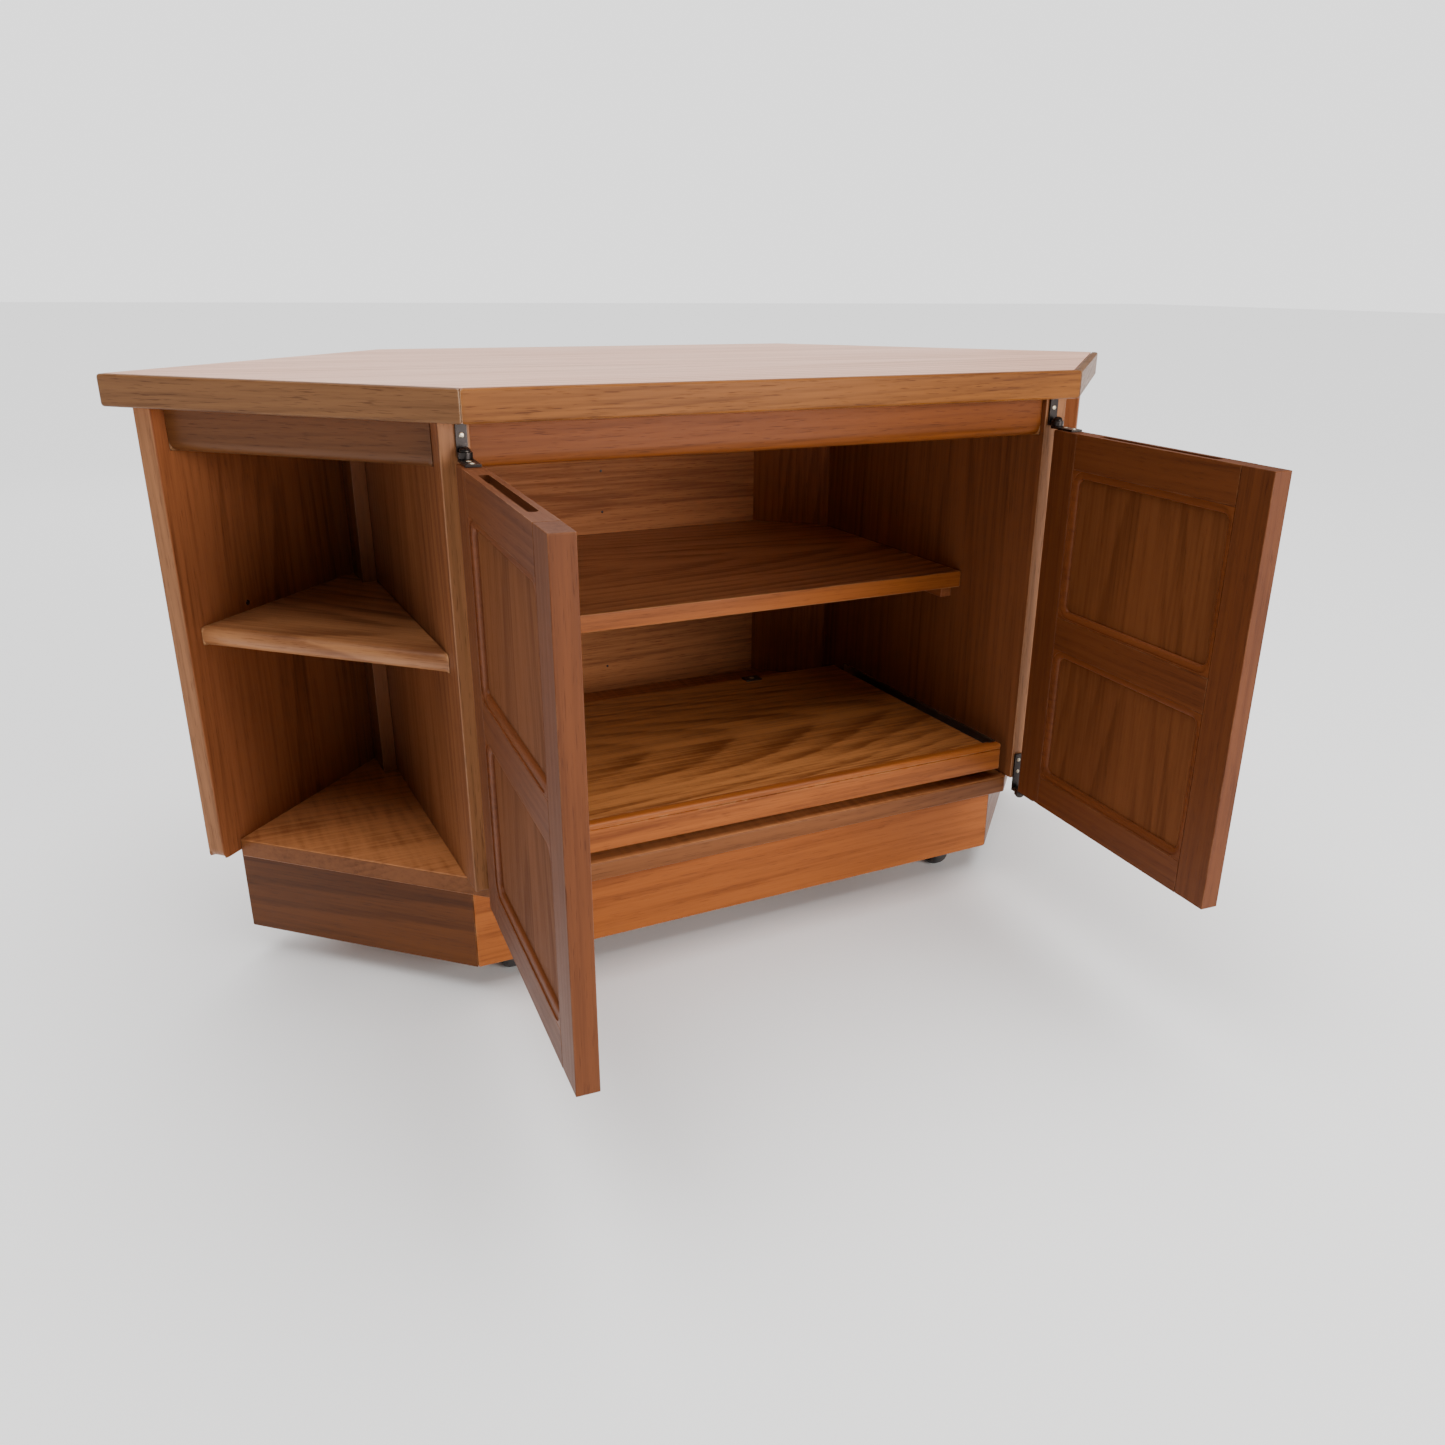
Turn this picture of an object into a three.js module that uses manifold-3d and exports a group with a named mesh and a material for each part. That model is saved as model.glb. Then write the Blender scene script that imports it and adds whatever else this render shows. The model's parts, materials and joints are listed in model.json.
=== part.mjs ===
// TV cabinet on casters for a room corner or a wall: a veneered top with 45-degree wings, two
// frame-and-panel doors on cranked pivot hinges, a sliding tray behind them and an open bay with
// one shelf on each side. Millimetres, +Z up, the front towards -Y, the floor at Z = 0.
import * as THREE from 'three';
import { mergeVertices } from 'three/addons/utils/BufferGeometryUtils.js';
import Module from 'manifold-3d';

const wasm = await Module();
wasm.setup();

// Top
const overallHeight = 570;
const frontWidth = 600; // straight front edge, between the wings
const wingReach = 236; // how far each wing goes sideways, and as far back
const topDepth = 519;
const topThickness = 26;
const lippingWidth = 8;

// Carcass
const boardThickness = 18;
const uprightThickness = 25;
const doorwayWidth = 572; // clear width between the uprights
const uprightSetback = 30; // all setbacks are measured square to the top's edge above
const sidePanelThickness = 17.4;
const sidePanelSetback = 14;
const sidePanelDrop = 12; // how far the side panels go down past the base board's top
const wallOverhang = 17.5; // top beyond the side panels
const rearOverhang = 5; // top beyond the back panel
const backPanelThickness = 6;
const battenLength = 66;
const battenThickness = 14;
const apronHeight = 38;
const apronSetback = 35.5;
const cornerApronSetback = 29;
const baseSetback = 36;
const baseWingSetback = 36.8;
const cornerShelfHeight = 213; // shelf tops above the base board's top
const cornerShelfSetback = 31;
const centreShelfHeight = 208;
const centreShelfSetback = 144;
const cleatSize = 14;
const cleatInset = 16;

// Plinth and casters
const plinthClearance = 31; // floor to plinth
const plinthHeight = 90;
const plinthSetback = 82;
const plinthWingSetback = 56.6;
const casterHeight = 57; // floor to rail
const casterRailWidth = 48;
const casterRailEnd = 28; // rail beyond the caster's axis
const casterBehindPlinth = 38; // front swivel axis behind the plinth board
const frontCaster = { x: 260, y: plinthSetback + boardThickness + casterBehindPlinth };
const rearCaster = { x: 200, y: 400 };
const casterTrail = 14;
const wheelRadius = 20;
const wheelWidth = 18;
const wheelEdge = 3;
const axleRadius = 3;
const axleClearance = 0.3;
const forkThickness = 3;
const forkClearance = 0.6;
const forkCrown = 2; // gap between wheel and fork
const forkEnd = 8;
const hubRadius = 13;

// Doors
const doorThickness = 17.5;
const doorTopGap = 30; // door to the underside of the top
const doorBottomLap = 9; // door past the base board's top
const doorGap = 2; // between the closed doors
const doorBackGap = 1.3; // closed door to the uprights
const doorLap = 0.5; // closed door over each upright
const stileWidth = 36;
const topRailHeight = 33;
const middleRailHeight = 32;
const bottomRailHeight = 31;
const upperShare = 146 / 288; // upper panel's part of the height left for the two panels
const panelThickness = 7;
const leftDoorAngle = 94.6; // how far each door stands open
const rightDoorAngle = 85;
const grooveLength = 156;
const grooveWidth = 8;
const grooveDepth = 6;
const grooveFromFreeEdge = 68;

// Cranked pivot hinges
const pivotOffset = 7; // pivot axis outside the closed door's hinge edge
const pivotFromBack = 8.3; // and in front of the door's back face
const hingePlateLength = 32;
const hingePlateWidth = 12;
const hingePlateThickness = 2;
const pinRadius = 2.5;
const pinHeight = 5.5;
const eyeRadius = 5.8;
const eyeHeight = 5;
const eyeClearance = 0.4;
const armWidth = 9;
const armThickness = 2.5;
const lowerArmHeight = 40;

// Sliding tray
const trayHeight = 35; // tray top above the base board's top
const trayThickness = 15;
const trayDepth = 318;
const trayGap = 18; // tray's side to the upright
const lipGap = 12; // lip's end to the upright
const lipSetback = 36.5;
const lipDepth = 22;
const lipFlat = 8; // flat top of the lip, in front of its cove
const lipRise = 5.5; // above the tray
const lipDrop = 9; // below the tray
const runnerThickness = 2;
const runnerLedge = 30;
const runnerRise = 15;
const runnerClearance = 0.3;

const joint = 0.3; // gap left between pieces that are glued, screwed or seated

// Levels and plan lines that the pieces share
const undersideZ = overallHeight - topThickness;
const baseBottomZ = plinthClearance + plinthHeight;
const baseTopZ = baseBottomZ + boardThickness;
const doorwayHalf = doorwayWidth / 2;
const uprightOuter = doorwayHalf + uprightThickness;
const rearFaceY = topDepth - rearOverhang;
const backInnerY = rearFaceY - backPanelThickness;
// A wall line holds the points where |x| + y equals its value
const wallEdge = frontWidth / 2 + 2 * wingReach;
const wallOuter = wallEdge - wallOverhang * Math.SQRT2;
const wallInner = wallOuter - sidePanelThickness * Math.SQRT2;
const wallSeat = wallInner - joint * Math.SQRT2;

// y on the line that runs inside the top's wing edge at a setback square to it
const wingY = (x, setback) => x - frontWidth / 2 + setback * Math.SQRT2;
const wingX = (y, setback) => y + frontWidth / 2 - setback * Math.SQRT2;
// where that line meets a wall line
const wingMeetsWall = (setback, wall) => {
  const x = (wall + frontWidth / 2 - setback * Math.SQRT2) / 2;
  return [x, wall - x];
};

const teak = { color: 0x9a5a30, roughness: 0.42, metalness: 0 };
const topTeak = { color: 0xc58a5e, roughness: 0.35, metalness: 0 };
const panelTeak = { color: 0x86492a, roughness: 0.45, metalness: 0 };
const backTeak = { color: 0x8b5733, roughness: 0.6, metalness: 0 };
const bronze = { color: 0x2b211c, roughness: 0.35, metalness: 1 };
const steel = { color: 0x9a9a98, roughness: 0.4, metalness: 1 };
const darkPlastic = { color: 0x2c2a29, roughness: 0.5, metalness: 0 };

const cabinet = new THREE.Group();
const sides = [['left', -1], ['right', 1]];

function add(parent, name, geometry, look) {
  const mesh = new THREE.Mesh(geometry, new THREE.MeshStandardMaterial(look));
  mesh.name = name;
  parent.add(mesh);
  return mesh;
}

function outline(points) {
  return new THREE.Shape(points.map(([a, b]) => new THREE.Vector2(a, b)));
}

// A plan outline pulled up from z0 to z1
function slab(points, z0, z1, side = 1) {
  const shape = outline(points.map(([x, y]) => [x * side, y]));
  const geometry = new THREE.ExtrudeGeometry(shape, { depth: z1 - z0, bevelEnabled: false });
  return geometry.translate(0, 0, z0);
}

// The same from a right-hand half outline, listed from the front to the back
function mirroredSlab(half, z0, z1) {
  const left = half.map(([x, y]) => [-x, y]).reverse();
  return slab([...half, ...left], z0, z1);
}

function box(x0, x1, y0, y1, z0, z1) {
  const geometry = new THREE.BoxGeometry(Math.abs(x1 - x0), y1 - y0, z1 - z0);
  return geometry.translate((x0 + x1) / 2, (y0 + y1) / 2, (z0 + z1) / 2);
}

// A y-z section pulled along x
function alongX(shape, x0, x1) {
  const geometry = new THREE.ExtrudeGeometry(shape, { depth: x1 - x0, bevelEnabled: false });
  const turn = new THREE.Matrix4().makeBasis(
    new THREE.Vector3(0, 1, 0), new THREE.Vector3(0, 0, 1), new THREE.Vector3(1, 0, 0));
  return geometry.applyMatrix4(turn).translate(x0, 0, 0);
}

// An x-z section pulled along y
function alongY(shape, y0, y1) {
  const geometry = new THREE.ExtrudeGeometry(shape, { depth: y1 - y0, bevelEnabled: false });
  return geometry.rotateX(Math.PI / 2).translate(0, y1, 0);
}

function rod(radius, z0, z1, segments = 24) {
  const geometry = new THREE.CylinderGeometry(radius, radius, z1 - z0, segments);
  return geometry.rotateX(Math.PI / 2).translate(0, 0, (z0 + z1) / 2);
}

function toSolid(geometry) {
  const bare = geometry.clone();
  bare.deleteAttribute('normal');
  bare.deleteAttribute('uv');
  const merged = mergeVertices(bare, 1e-4);
  return new wasm.Manifold(new wasm.Mesh({
    numProp: 3,
    vertProperties: new Float32Array(merged.attributes.position.array),
    triVerts: new Uint32Array(merged.index.array),
  }));
}

function toGeometry(solid) {
  const mesh = solid.getMesh();
  const geometry = new THREE.BufferGeometry();
  geometry.setAttribute('position', new THREE.BufferAttribute(mesh.vertProperties, 3));
  geometry.setIndex(new THREE.BufferAttribute(mesh.triVerts, 1));
  return geometry;
}

function joined(...geometries) {
  return toGeometry(geometries.map(toSolid).reduce((whole, piece) => whole.add(piece)));
}

function cut(geometry, ...tools) {
  return toGeometry(tools.map(toSolid).reduce((whole, tool) => whole.subtract(tool), toSolid(geometry)));
}

// A strip between two lines parallel to the wing edge
function wingStrip(xStart, setback, thickness, wall) {
  return [
    [xStart, wingY(xStart, setback)],
    wingMeetsWall(setback, wall),
    wingMeetsWall(setback + thickness, wall),
    [xStart, wingY(xStart, setback + thickness)],
  ];
}

function makeTop() {
  const boardEdge = lippingWidth + joint;
  const frontCorner = (inset) => [wingX(inset, inset), inset];
  add(cabinet, 'top_board', mirroredSlab([
    frontCorner(boardEdge),
    wingMeetsWall(boardEdge, wallEdge),
    [wallEdge - topDepth, topDepth],
  ], undersideZ, overallHeight), topTeak);
  const [outerX] = frontCorner(0);
  const [innerX] = frontCorner(lippingWidth);
  add(cabinet, 'top_lipping_front', mirroredSlab([
    [outerX - joint, 0],
    [innerX - joint, lippingWidth],
  ], undersideZ, overallHeight), teak);
  for (const [name, side] of sides) {
    add(cabinet, `top_lipping_${name}`, slab([
      frontCorner(0),
      wingMeetsWall(0, wallEdge),
      wingMeetsWall(lippingWidth, wallEdge),
      frontCorner(lippingWidth),
    ], undersideZ, overallHeight, side), teak);
  }
}

function makeCarcass() {
  const z0 = baseTopZ + joint;
  const z1 = undersideZ - joint;
  const battenFront = wallInner - uprightOuter - battenLength;
  const battenIn = uprightOuter + joint;
  const battenOut = battenIn + battenThickness;
  for (const [name, side] of sides) {
    add(cabinet, `upright_${name}`, slab([
      [doorwayHalf, uprightSetback],
      [uprightOuter, uprightSetback],
      [uprightOuter, wallSeat - uprightOuter],
      [doorwayHalf, wallSeat - doorwayHalf],
    ], z0, z1, side), teak);
    add(cabinet, `side_panel_${name}`, slab([
      wingMeetsWall(sidePanelSetback, wallInner),
      wingMeetsWall(sidePanelSetback, wallOuter),
      [wallOuter - rearFaceY, rearFaceY],
      [wallInner - rearFaceY, rearFaceY],
    ], baseTopZ - sidePanelDrop, z1, side), teak);
    add(cabinet, `corner_batten_${name}`, slab([
      [battenIn, battenFront],
      [battenOut, battenFront],
      [battenOut, wallSeat - battenOut],
      [battenIn, wallSeat - battenIn],
    ], z0, z1, side), teak);
    add(cabinet, `corner_apron_${name}`, slab(
      wingStrip(battenIn, cornerApronSetback, boardThickness, wallSeat),
      undersideZ - apronHeight, z1, side), teak);
    const shelfZ = baseTopZ + cornerShelfHeight;
    add(cabinet, `corner_shelf_${name}`, slab([
      [battenIn, wingY(battenIn, cornerShelfSetback)],
      wingMeetsWall(cornerShelfSetback, wallSeat),
      [battenOut + joint, wallSeat - battenOut - joint],
      [battenOut + joint, battenFront - joint],
      [battenIn, battenFront - joint],
    ], shelfZ - boardThickness, shelfZ, side), panelTeak);
  }
  add(cabinet, 'front_apron', box(joint - doorwayHalf, doorwayHalf - joint,
    apronSetback, apronSetback + boardThickness, undersideZ - apronHeight, z1), teak);
  add(cabinet, 'base_board', mirroredSlab([
    [wingX(baseSetback, baseWingSetback), baseSetback],
    wingMeetsWall(baseWingSetback, wallSeat),
    [wallSeat - backInnerY + joint, backInnerY - joint],
  ], baseBottomZ, baseTopZ), panelTeak);
  add(cabinet, 'back_panel', mirroredSlab([
    [wallSeat - backInnerY, backInnerY],
    [wallSeat - rearFaceY, rearFaceY],
  ], baseBottomZ, z1), backTeak);
}

function makeCentreShelf() {
  const halfWidth = doorwayHalf - joint;
  const topZ = baseTopZ + centreShelfHeight;
  add(cabinet, 'centre_shelf', mirroredSlab([
    [halfWidth, centreShelfSetback],
    [halfWidth, wallSeat - halfWidth],
    [wallSeat - backInnerY + joint, backInnerY - joint],
  ], topZ - boardThickness, topZ), panelTeak);
  const cleatTop = topZ - boardThickness - joint;
  for (const [name, side] of sides) {
    add(cabinet, `shelf_cleat_${name}`, box(side * (halfWidth - cleatSize), side * halfWidth,
      centreShelfSetback + cleatInset, wallSeat - halfWidth - cleatInset,
      cleatTop - cleatSize, cleatTop), teak);
  }
}

function makePlinth() {
  const z1 = baseBottomZ - joint;
  const innerSetback = plinthSetback + boardThickness;
  const outerX = wingX(plinthSetback, plinthWingSetback);
  const innerX = wingX(innerSetback, plinthWingSetback + boardThickness);
  add(cabinet, 'plinth_front', mirroredSlab([
    [outerX - joint, plinthSetback],
    [innerX - joint, innerSetback],
  ], plinthClearance, z1), teak);
  for (const [name, side] of sides) {
    add(cabinet, `plinth_${name}`, slab([
      [outerX, plinthSetback],
      wingMeetsWall(plinthWingSetback, wallOuter),
      wingMeetsWall(plinthWingSetback + boardThickness, wallOuter),
      [innerX, innerSetback],
    ], plinthClearance, z1, side), teak);
  }
  const backY = backInnerY - boardThickness;
  add(cabinet, 'plinth_back', mirroredSlab([
    [wallSeat - backY, backY],
    [wallSeat - backInnerY, backInnerY],
  ], plinthClearance, z1), teak);
  for (const [name, caster] of [['front', frontCaster], ['rear', rearCaster]]) {
    const halfLength = caster.x + casterRailEnd;
    const halfWidth = casterRailWidth / 2;
    add(cabinet, `caster_rail_${name}`, box(-halfLength, halfLength,
      caster.y - halfWidth, caster.y + halfWidth, casterHeight, z1), backTeak);
  }
}

function makeCaster(name, x, y) {
  const caster = new THREE.Group();
  caster.position.set(x, y, 0);
  cabinet.add(caster);
  const cheekIn = wheelWidth / 2 + forkClearance;
  const cheekOut = cheekIn + forkThickness;
  const crownZ = 2 * wheelRadius + forkCrown;
  const cheek = new THREE.Shape();
  cheek.moveTo(forkEnd, crownZ + forkThickness);
  cheek.lineTo(-casterTrail - forkEnd, crownZ + forkThickness);
  cheek.lineTo(-casterTrail - forkEnd, wheelRadius);
  cheek.absarc(-casterTrail, wheelRadius, forkEnd, Math.PI, 2 * Math.PI, false);
  cheek.closePath();
  const axle = rod(axleRadius, -cheekOut, cheekOut).rotateY(Math.PI / 2);
  add(caster, `caster_fork_${name}`, joined(
    rod(hubRadius, crownZ, casterHeight - joint),
    box(-cheekOut, cheekOut, -casterTrail - forkEnd, forkEnd, crownZ, crownZ + forkThickness),
    alongX(cheek, -cheekOut, -cheekIn),
    alongX(cheek, cheekIn, cheekOut),
    axle.translate(0, -casterTrail, wheelRadius),
  ), steel);
  const half = wheelWidth / 2;
  const bore = axleRadius + axleClearance;
  const profile = [
    [bore, -half], [wheelRadius - wheelEdge, -half], [wheelRadius, wheelEdge - half],
    [wheelRadius, half - wheelEdge], [wheelRadius - wheelEdge, half], [bore, half], [bore, -half],
  ].map(([r, h]) => new THREE.Vector2(r, h));
  const wheel = new THREE.LatheGeometry(profile, 40).rotateZ(Math.PI / 2);
  add(caster, `caster_wheel_${name}`, wheel, darkPlastic)
    .position.set(0, -casterTrail, wheelRadius);
}

// Door heights and the pivots, which the doors and the arms share
const doorBottomZ = baseTopZ - doorBottomLap;
const doorTopZ = undersideZ - doorTopGap;
const hingeEdge = doorwayHalf + doorLap;
const pivotX = hingeEdge + pivotOffset;
const pivotY = uprightSetback - doorBackGap - pivotFromBack;
const doorFrontY = pivotFromBack - doorThickness; // door faces measured from the pivot
const freeEdge = pivotX - doorGap / 2;

function makeDoor(name, side, angle) {
  const door = new THREE.Group();
  door.position.set(side * pivotX, pivotY, 0);
  door.rotation.z = side * THREE.MathUtils.degToRad(angle);
  cabinet.add(door);
  // d is the distance from the pivot towards the free edge
  const board = (d0, d1, z0, z1, y0 = doorFrontY, y1 = pivotFromBack) =>
    box(-side * d0, -side * d1, y0, y1, z0, z1);
  const railIn = pivotOffset + stileWidth;
  const railOut = freeEdge - stileWidth;
  add(door, `door_${name}_hinge_stile`, board(pivotOffset, railIn - joint, doorBottomZ, doorTopZ), teak);
  add(door, `door_${name}_free_stile`, board(railOut + joint, freeEdge, doorBottomZ, doorTopZ), teak);
  const panelRoom = doorTopZ - doorBottomZ - topRailHeight - middleRailHeight - bottomRailHeight;
  const topRailZ = doorTopZ - topRailHeight;
  const middleRailZ = topRailZ - panelRoom * upperShare - middleRailHeight;
  const bottomRailTop = doorBottomZ + bottomRailHeight;
  const grooveEnd = freeEdge - grooveFromFreeEdge;
  const grooveHalf = grooveWidth / 2;
  const grooveY = (doorFrontY + pivotFromBack) / 2;
  const groove = new THREE.Shape();
  groove.absarc(grooveEnd - grooveHalf, grooveY, grooveHalf, -Math.PI / 2, Math.PI / 2, false);
  groove.absarc(grooveEnd - grooveLength + grooveHalf, grooveY, grooveHalf, Math.PI / 2, 1.5 * Math.PI, false);
  groove.closePath();
  const grooveTool = slab(groove.getPoints(8).slice(0, -1).map((p) => [p.x, p.y]),
    doorTopZ - grooveDepth, doorTopZ + 1, -side);
  add(door, `door_${name}_top_rail`, cut(board(railIn, railOut, topRailZ, doorTopZ), grooveTool), teak);
  add(door, `door_${name}_middle_rail`,
    board(railIn, railOut, middleRailZ, middleRailZ + middleRailHeight), teak);
  add(door, `door_${name}_bottom_rail`, board(railIn, railOut, doorBottomZ, bottomRailTop), teak);
  const panelFront = doorFrontY + (doorThickness - panelThickness) / 2;
  const panels = [
    ['upper', middleRailZ + middleRailHeight, topRailZ],
    ['lower', bottomRailTop, middleRailZ],
  ];
  for (const [place, z0, z1] of panels) {
    add(door, `door_${name}_${place}_panel`, board(railIn, railOut,
      z0 + joint, z1 - joint, panelFront, panelFront + panelThickness), panelTeak);
  }
  const plateHalf = hingePlateWidth / 2;
  const plate = new THREE.Shape();
  plate.moveTo(-side * hingePlateLength, -side * plateHalf);
  plate.lineTo(-side * hingePlateLength, side * plateHalf);
  plate.absarc(0, 0, plateHalf, side * Math.PI / 2, -side * Math.PI / 2, true);
  plate.closePath();
  const plateOutline = plate.getPoints(10).slice(0, -1).map((p) => [p.x, p.y]);
  const plateTopZ = doorTopZ + joint + hingePlateThickness;
  add(door, `hinge_plate_upper_${name}`, joined(
    slab(plateOutline, doorTopZ + joint, plateTopZ),
    rod(pinRadius, plateTopZ - 1, plateTopZ + pinHeight),
  ), bronze);
  const plateBottomZ = doorBottomZ - joint - hingePlateThickness;
  add(door, `hinge_plate_lower_${name}`, joined(
    slab(plateOutline, plateBottomZ, doorBottomZ - joint),
    rod(pinRadius, plateBottomZ - pinHeight, plateBottomZ + 1),
  ), bronze);
}

function makeHingeArms(name, side) {
  const arms = new THREE.Group();
  arms.position.set(side * pivotX, pivotY, 0);
  cabinet.add(arms);
  const half = armWidth / 2;
  const seatY = uprightSetback - pivotY - joint;
  const bore = pinRadius + eyeClearance;
  const plateReach = joint * 2 + hingePlateThickness;
  const eyeZ = doorTopZ + plateReach;
  add(arms, `hinge_arm_upper_${name}`, cut(joined(
    rod(eyeRadius, eyeZ, eyeZ + eyeHeight),
    box(-half, half, 0, seatY, eyeZ, eyeZ + armThickness),
    box(-half, half, seatY - armThickness, seatY, eyeZ, undersideZ - joint),
  ), rod(bore, eyeZ - 1, eyeZ + eyeHeight + 1)), bronze);
  const lowZ = doorBottomZ - plateReach;
  add(arms, `hinge_arm_lower_${name}`, cut(joined(
    rod(eyeRadius, lowZ - eyeHeight, lowZ),
    box(-half, half, 0, seatY, lowZ - armThickness, lowZ),
    box(-half, half, seatY - armThickness, seatY, lowZ - armThickness, lowZ + lowerArmHeight),
  ), rod(bore, lowZ - eyeHeight - 1, lowZ + 1)), bronze);
}

function makeTray() {
  const topZ = baseTopZ + trayHeight;
  const bottomZ = topZ - trayThickness;
  const backOfLip = lipSetback + lipDepth;
  const lip = new THREE.Shape();
  lip.moveTo(lipSetback, bottomZ - lipDrop);
  lip.lineTo(backOfLip, bottomZ - lipDrop);
  lip.lineTo(backOfLip, topZ);
  lip.quadraticCurveTo(lipSetback + lipFlat, topZ, lipSetback + lipFlat, topZ + lipRise);
  lip.lineTo(lipSetback, topZ + lipRise);
  lip.closePath();
  const lipHalf = doorwayHalf - lipGap;
  add(cabinet, 'tray_lip', alongX(lip, -lipHalf, lipHalf), teak);
  const trayHalf = doorwayHalf - trayGap;
  const trayFront = backOfLip + joint;
  add(cabinet, 'tray_board', box(-trayHalf, trayHalf, trayFront, trayFront + trayDepth,
    bottomZ, topZ), topTeak);
  for (const [name, side] of sides) {
    const wallX = doorwayHalf - joint;
    const ledgeZ = bottomZ - runnerClearance;
    const section = [
      [wallX, ledgeZ - runnerThickness],
      [wallX, ledgeZ + runnerRise],
      [wallX - runnerThickness, ledgeZ + runnerRise],
      [wallX - runnerThickness, ledgeZ],
      [wallX - runnerLedge, ledgeZ],
      [wallX - runnerLedge, ledgeZ - runnerThickness],
    ].map(([x, z]) => [x * side, z]);
    add(cabinet, `tray_runner_${name}`,
      alongY(outline(section), trayFront + joint, trayFront + trayDepth), steel);
  }
}

makeTop();
makeCarcass();
makeCentreShelf();
makePlinth();
for (const [name, side] of sides) {
  makeCaster(`front_${name}`, side * frontCaster.x, frontCaster.y);
  makeCaster(`rear_${name}`, side * rearCaster.x, rearCaster.y);
  makeHingeArms(name, side);
}
makeDoor('left', -1, leftDoorAngle);
makeDoor('right', 1, rightDoorAngle);
makeTray();

// The origin is on the floor, midway between the open doors' ends and the top's back edge
function lowestY(angle) {
  const turn = THREE.MathUtils.degToRad(angle);
  const reach = (y) => pivotY - freeEdge * Math.sin(turn) + y * Math.cos(turn);
  return Math.min(reach(doorFrontY), reach(pivotFromBack));
}
const frontmost = Math.min(lowestY(leftDoorAngle), lowestY(rightDoorAngle));
cabinet.position.y = -(frontmost + topDepth) / 2;

const model = new THREE.Group();
model.add(cabinet);

export default model;
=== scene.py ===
import json
import math
import random

import bmesh
import bpy
from mathutils import Euler, Matrix, Vector


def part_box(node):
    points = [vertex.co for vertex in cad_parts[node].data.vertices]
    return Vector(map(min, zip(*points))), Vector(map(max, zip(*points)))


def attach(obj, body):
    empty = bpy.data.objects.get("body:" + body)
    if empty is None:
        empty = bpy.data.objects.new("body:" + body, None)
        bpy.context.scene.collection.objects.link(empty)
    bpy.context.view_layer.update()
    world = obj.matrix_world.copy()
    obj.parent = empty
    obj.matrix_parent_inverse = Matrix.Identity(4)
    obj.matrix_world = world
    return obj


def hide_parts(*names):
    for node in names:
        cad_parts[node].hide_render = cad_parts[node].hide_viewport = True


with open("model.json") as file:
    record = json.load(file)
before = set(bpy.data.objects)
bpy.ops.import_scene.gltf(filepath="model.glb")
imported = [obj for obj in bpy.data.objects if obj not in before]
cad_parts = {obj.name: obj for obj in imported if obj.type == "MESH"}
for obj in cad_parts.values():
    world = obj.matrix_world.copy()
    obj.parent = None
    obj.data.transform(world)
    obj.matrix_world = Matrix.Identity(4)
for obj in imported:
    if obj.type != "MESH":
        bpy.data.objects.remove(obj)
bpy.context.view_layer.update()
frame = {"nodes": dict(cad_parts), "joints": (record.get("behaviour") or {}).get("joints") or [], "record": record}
nodes = frame["nodes"]
mm = 0.001
sides = {"left": -1, "right": 1}
print("frame loaded:", len(nodes), "nodes")

bodyOf = {node: body for body, members in frame["record"]["behaviour"]["bodies"].items() for node in members}
jointOf = {row["name"]: row for row in frame["joints"]}


def newGroup(name, inputs, outputs):
    group = bpy.data.node_groups.new(name, "ShaderNodeTree")
    for label, kind, value in inputs:
        socket = group.interface.new_socket(label, in_out="INPUT", socket_type=kind)
        socket.default_value = value
    for label, kind in outputs:
        group.interface.new_socket(label, in_out="OUTPUT", socket_type=kind)
    return group, group.nodes.new("NodeGroupInput"), group.nodes.new("NodeGroupOutput")


class ShaderNodes:
    # short calls for the nodes that most effects here are made of
    def __init__(self, tree):
        self.tree = tree

    def put(self, socket, value):
        if hasattr(value, "is_linked"):
            self.tree.links.new(value, socket)
        else:
            socket.default_value = value

    def math(self, operation, a, b=0.0, c=0.0):
        node = self.tree.nodes.new("ShaderNodeMath")
        node.operation = operation
        for socket, value in zip(node.inputs, (a, b, c)):
            self.put(socket, value)
        return node.outputs[0]

    def noise(self, vector, scale, detail, roughness=0.5):
        node = self.tree.nodes.new("ShaderNodeTexNoise")
        self.put(node.inputs["Vector"], vector)
        self.put(node.inputs["Scale"], scale)
        self.put(node.inputs["Detail"], detail)
        self.put(node.inputs["Roughness"], roughness)
        return node.outputs[0]

    def span(self, value, low, high, toLow=0.0, toHigh=1.0):
        node = self.tree.nodes.new("ShaderNodeMapRange")
        node.interpolation_type = "SMOOTHSTEP"
        for label, number in (("From Min", low), ("From Max", high), ("To Min", toLow), ("To Max", toHigh)):
            self.put(node.inputs[label], number)
        self.put(node.inputs["Value"], value)
        return node.outputs["Result"]

    def mix(self, factor, a, b):
        node = self.tree.nodes.new("ShaderNodeMix")
        node.data_type = "RGBA"
        self.put(node.inputs["Factor"], factor)
        self.put(node.inputs["A"], a)
        self.put(node.inputs["B"], b)
        return node.outputs["Result"]

    def streaks(self, vector, stretch, detail, roughness=0.5):
        # noise drawn out along the grain
        node = self.tree.nodes.new("ShaderNodeVectorMath")
        node.operation = "MULTIPLY"
        self.put(node.inputs[0], vector)
        self.put(node.inputs[1], stretch)
        return self.noise(node.outputs[0], 1.0, detail, roughness)


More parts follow.
